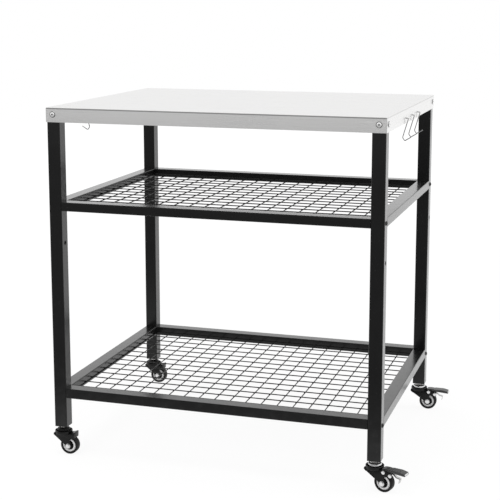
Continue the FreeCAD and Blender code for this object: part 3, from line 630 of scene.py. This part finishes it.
def pedal_coat(place):
    tone = place.noise(0.010, detail=4)
    rub = place.noise(0.0016, (1, 5, 1), 5).rise(0.58, 0.72)
    peel = place.noise(0.0009, detail=2)
    return {"Base Color": (tone * 0.2 + rub * 0.5).mixed(grey(0.012), grey(0.20)),
            "Roughness": 0.22 + tone * 0.12 + rub * 0.1,
            "Normal": peel.bumped(0.00003)}


def sprung(place):
    haze = place.noise(0.004, detail=3)
    return {"Base Color": haze.mixed(grey(0.50, 0.02), grey(0.68)),
            "Roughness": 0.18 + haze * 0.14,
            "Normal": haze.bumped(0.00002)}


pedal_black = finish("black_pedal_coat", pedal_coat, IOR=1.48)
spring_steel = finish("spring_steel", sprung, Metallic=1.0)

rivet = rounded([(0.3, -17.6), (3.4, -17.45), (4.9, -16.7), (5.2, -FORK_FACE), (2.0, -FORK_FACE),
                 (2.0, FORK_FACE), (5.2, FORK_FACE), (4.9, 16.7), (3.4, 17.45), (0.3, 17.6)],
                0.8, closed=False)
shoe_front, shoe_back = off_axle(SHOE, 29), off_axle(SHOE, 39)
lever = rounded([(26, 51.9), (36, 51.9), shoe_front, shoe_back, (shoe_back[0], TREAD - 2.6),
                 (58, TREAD - 2.6), (58, TREAD + 0.4), (26, TREAD + 0.4)], 0.8, 4)
side_lip = rounded([(27, TREAD - 3.0), (57, TREAD - 4.6), (78, TREAD - 6.4), (88.4, TREAD - 7.0),
                    (87.4, TREAD - 1.6), (79, TREAD + 0.2), (27, TREAD + 0.6)], 1.0, 4)
end_lip = rounded([(84.4, TREAD - 0.9), (88.0, TREAD - 1.2), (90.2, TREAD - 6.9), (87.6, TREAD - 7.2),
                   (86.4, TREAD - 3.2), (84.4, TREAD - 2.6)], 0.5, 4)
# Painted highlight: a bright zinc strip across the end lip stands in for the reflection that the black coat
# shows there.
highlight_strip = rounded([(88.6, TREAD - 2.3), (89.95, TREAD - 5.8), (89.4, TREAD - 6.1), (87.8, TREAD - 2.3)], 0.1, 3)

# The tread rises over the rivet, widens beyond the fork's ears and dips towards its end. Each rib is a bell
# curve, and the last five sections round the end off.
round_end = np.linspace(math.pi * 0.6, 0, 5)
tread_x = np.concatenate([np.linspace(TREAD_START, TREAD_END, 80), TREAD_END + 0.8 + 0.9 * np.cos(round_end)])
dip = np.clip((tread_x - 70) / 18, 0, 1)
hump = np.clip(1 - abs(tread_x - 36) / 8.5, 0, 1) ** 0.5
tread_z = TREAD + 1.0 + 0.7 * hump - 3.5 * dip ** 1.6
ribs = np.exp(-((tread_x[:, None] - RIBS) / RIB_WIDTH) ** 2).sum(axis=1)
half_width = 10.6 + 2.1 * np.clip((tread_x - 44) / 6, 0, 1) ** 2
half_thick = 0.8 + RIB * ribs + 0.1 * dip
half_thick[-5:] = [1.0, 1.0, 0.9, 0.6, 0.2]
square = rounded([(-1, -1), (1, -1), (1, 1), (-1, 1)], 0.5, 6)
tread = swept(np.stack([tread_x, 0 * tread_x, tread_z], axis=-1),
              square * np.stack([half_width, half_thick], axis=-1)[:, None], (0, 0, 1))

bends = [(-1, 2.7), (3.3, 2.7), (12.3, -5.6), (22.35, -7.3), (20.2, -18.6)]
leaf = [(STOP[0] + x, 0, STOP[1] + z) for x, z in bends]
strip = np.array([(-1, -1), (1, -1), (1, 1), (-1, 1)]) * (SPRING_WIDTH / 2, SPRING_THICK / 2)
spring = swept(rounded(leaf, 1.6, 6, closed=False), rounded(strip, 0.35, 3), (0, 0, 1))

for corner in BRAKED:
    pressing = [tread, plate(lever, -WEB_Y, WEB_Y), plate(end_lip, -END_Y, END_Y, 0.4)]
    pressing += [plate(side_lip, side * LIP_Y - 0.8, side * LIP_Y + 0.8, 0.4) for side in (-1, 1)]
    pedal = {pedal_black: [surface(seated(shape, corner)) for shape in pressing],
             bright_zinc: [surface(seated(plate(highlight_strip, -HIGHLIGHT_STRIP_Y, HIGHLIGHT_STRIP_Y, 0.1), corner))]}
    piece(f"pedal_{corner}", pedal, [f"brake_pedal_{corner}"])
    rivets = [surface(seated(placed(turned(rivet, 32), about((1, 0, 0), 90), x, 0, z), corner))
              for x, z in (PIVOT, STOP)]
    piece(f"rivets_{corner}", {bright_zinc: rivets}, [f"brake_rivets_{corner}"])
    piece(f"spring_{corner}", {spring_steel: [surface(seated(spring, corner))]}, [f"brake_spring_{corner}"])


# The five hooks are bent from 2.5 mm plated wire, with cut and rounded ends. Each hangs by its upper bend in
# a hole of the side skirt and ends in an open crook.
HOOKS = {"right_hook_front": (1, -1), "right_hook_middle": (1, 0), "right_hook_back": (1, 1),
         "left_hook_front": (-1, -1), "left_hook_back": (-1, 1)}
HOOK_WIRE, HOOK_PITCH, MIDDLE_HOOK_Y, HOLE_DROP = 2.5, 90, -9, 25
ROUTE = [(-6.5, -7.0), (-6.5, -1.0), (7, -1.0), (-8, -52.5), (-2, -61.0), (15, -50.5)]


def plated_wire(place):
    sheen = place.noise(0.0014, detail=3)
    return {"Base Color": sheen.mixed(grey(0.28), grey(0.42)),
            "Roughness": 0.14 + sheen * 0.16,
            "Normal": sheen.bumped(0.00002)}


hook_plate = finish("plated_hook_wire", plated_wire, Metallic=1.0)
for name, (side, k) in HOOKS.items():
    route = [(side * (HALF_X + x), MIDDLE_HOOK_Y + HOOK_PITCH * k, TOP - HOLE_DROP + z) for x, z in ROUTE]
    path = rounded(route, 3.0, 9, closed=False)
    start, end = path[1] - path[0], path[-2] - path[-1]
    first = path[0] + start / np.linalg.norm(start) * np.array([[0], [0.3], [0.8]])
    last = path[-1] + end / np.linalg.norm(end) * np.array([[0.8], [0.3], [0]])
    path = np.concatenate([first, path[1:-1], last])
    radius = np.full(len(path), HOOK_WIRE / 2)
    radius[[0, 1, -2, -1]] = 0.7, 1.08, 1.08, 0.7
    wire = swept(path, circle(1.0, 14) * radius[:, None, None], (0, 1, 0))
    piece(name + "_wire", {hook_plate: [surface(wire)]}, [name])


# The studio is a white floor that fades into a white surround, three soft lamps that reflections don't show,
# and two grey cards in front that only reflections show, which give the steel and the black coat their tone.
FLOOR_RADIUS, FLOOR_DROP = 9.0, 0.0002
FAR_CARD, NEAR_CARD = (-4.6, 1.8, -3.2, 0.10, 1.40), (-2.4, 1.2, -0.75, 0.0, 0.80)
FAR_GLOW, NEAR_GLOW = 0.56, 0.38


def stage_plane(name, corners, made):
    """One flat face of the studio, which isn't a part of the table."""
    mesh = bpy.data.meshes.new(name)
    mesh.from_pydata(corners, [], [list(range(len(corners)))])
    mesh.materials.append(made)
    plane = bpy.data.objects.new(name, mesh)
    bpy.context.scene.collection.objects.link(plane)
    return plane


def blank(name):
    """A material without a shader yet, its tree as a Socket, and the place where its shader goes."""
    made = bpy.data.materials.new(name)
    made.use_nodes = True
    made.node_tree.nodes.remove(made.node_tree.nodes["Principled BSDF"])
    return made, Socket(made.node_tree), made.node_tree.nodes["Material Output"].inputs["Surface"]


def showing(start):
    """1 for a ray that shows what it meets, from the camera, reflected or let through, and 0 for one that
    only brings light."""
    rays = start.node("ShaderNodeLightPath").output.node.outputs
    shown = [Socket(start.tree, rays[f"Is {kind} Ray"]) for kind in ("Camera", "Glossy", "Transmission")]
    return sum(shown[1:], shown[0]).math("MINIMUM", 1)


white, start, shader = blank("floor_white")
place = start.node("ShaderNodeTexCoord", output="Object")
away = place.node("ShaderNodeVectorMath", {"operation": "LENGTH"}, {0: place}, output=1)
share = showing(start) * (0.85 + 0.15 * away.rise(1.2, 5.0))
lit = start.node("ShaderNodeBsdfDiffuse", {}, {"Color": grey(0.86)})
shining = start.node("ShaderNodeEmission", {}, {"Color": grey(1.0), "Strength": 1.06})
mixed = start.node("ShaderNodeMixShader", {}, {0: share, 1: lit, 2: shining})
start.tree.links.new(mixed.output, shader)
stage_plane("floor", [(x, y, -FLOOR_DROP) for x, y in circle(FLOOR_RADIUS, 64)], white)

for name, (left, right, y, low, high), strength in (("far_card", FAR_CARD, FAR_GLOW),
                                                    ("near_card", NEAR_CARD, NEAR_GLOW)):
    card_grey, start, shader = blank("card_grey")
    glow = start.node("ShaderNodeEmission", {}, {"Color": grey(1.0), "Strength": strength})
    start.tree.links.new(glow.output, shader)
    card = stage_plane(name, [(left, y, low), (right, y, low), (right, y, high), (left, y, high)], card_grey)
    for ray in ("camera", "diffuse", "transmission", "shadow", "volume_scatter"):
        setattr(card, f"visible_{ray}", False)

world = bpy.data.worlds.new("studio")
bpy.context.scene.world = world
world.use_nodes = True
background = world.node_tree.nodes["Background"].inputs
strength = 0.62 + 0.38 * showing(Socket(world.node_tree))
world.node_tree.links.new(strength.output, background["Strength"])
background["Color"].default_value = grey(1.0)


def lamp(name, place, aim, size, power):
    """A round soft lamp at a place, aimed at a point. It is tilted from straight down, then swung round."""
    made = bpy.data.lights.new(name, "AREA")
    made.shape, made.size, made.energy = "DISK", size, power
    lamp_object = bpy.data.objects.new(name, made)
    bpy.context.scene.collection.objects.link(lamp_object)
    lamp_object.location = place
    lamp_object.visible_glossy = False
    way = np.array(aim, float) - np.array(place)
    tilt = math.atan2(math.hypot(way[0], way[1]), -way[2])
    lamp_object.rotation_euler = (tilt, 0, math.atan2(-way[0], way[1]))


lamp("overhead_softbox", (-0.6, -0.4, 3.4), (0, 0, 0.6), 2.6, 34)
lamp("side_softbox", (3.2, 0.6, 1.6), (0, 0, 0.6), 2.0, 30)
lamp("front_softbox", (-0.6, -3.4, 1.4), (0, 0, 0.4), 2.4, 24)

lens = bpy.data.cameras.new("camera")
lens.lens, lens.shift_y = 89.66, -0.1
camera = bpy.data.objects.new("camera", lens)
bpy.context.scene.collection.objects.link(camera)
camera.location = (1.035, -3.3308, 1.2585)
camera.rotation_euler = (math.radians(90 - 9.45), 0, math.radians(17.30))
bpy.context.scene.camera = camera
bpy.context.scene.view_settings.view_transform = "Standard"
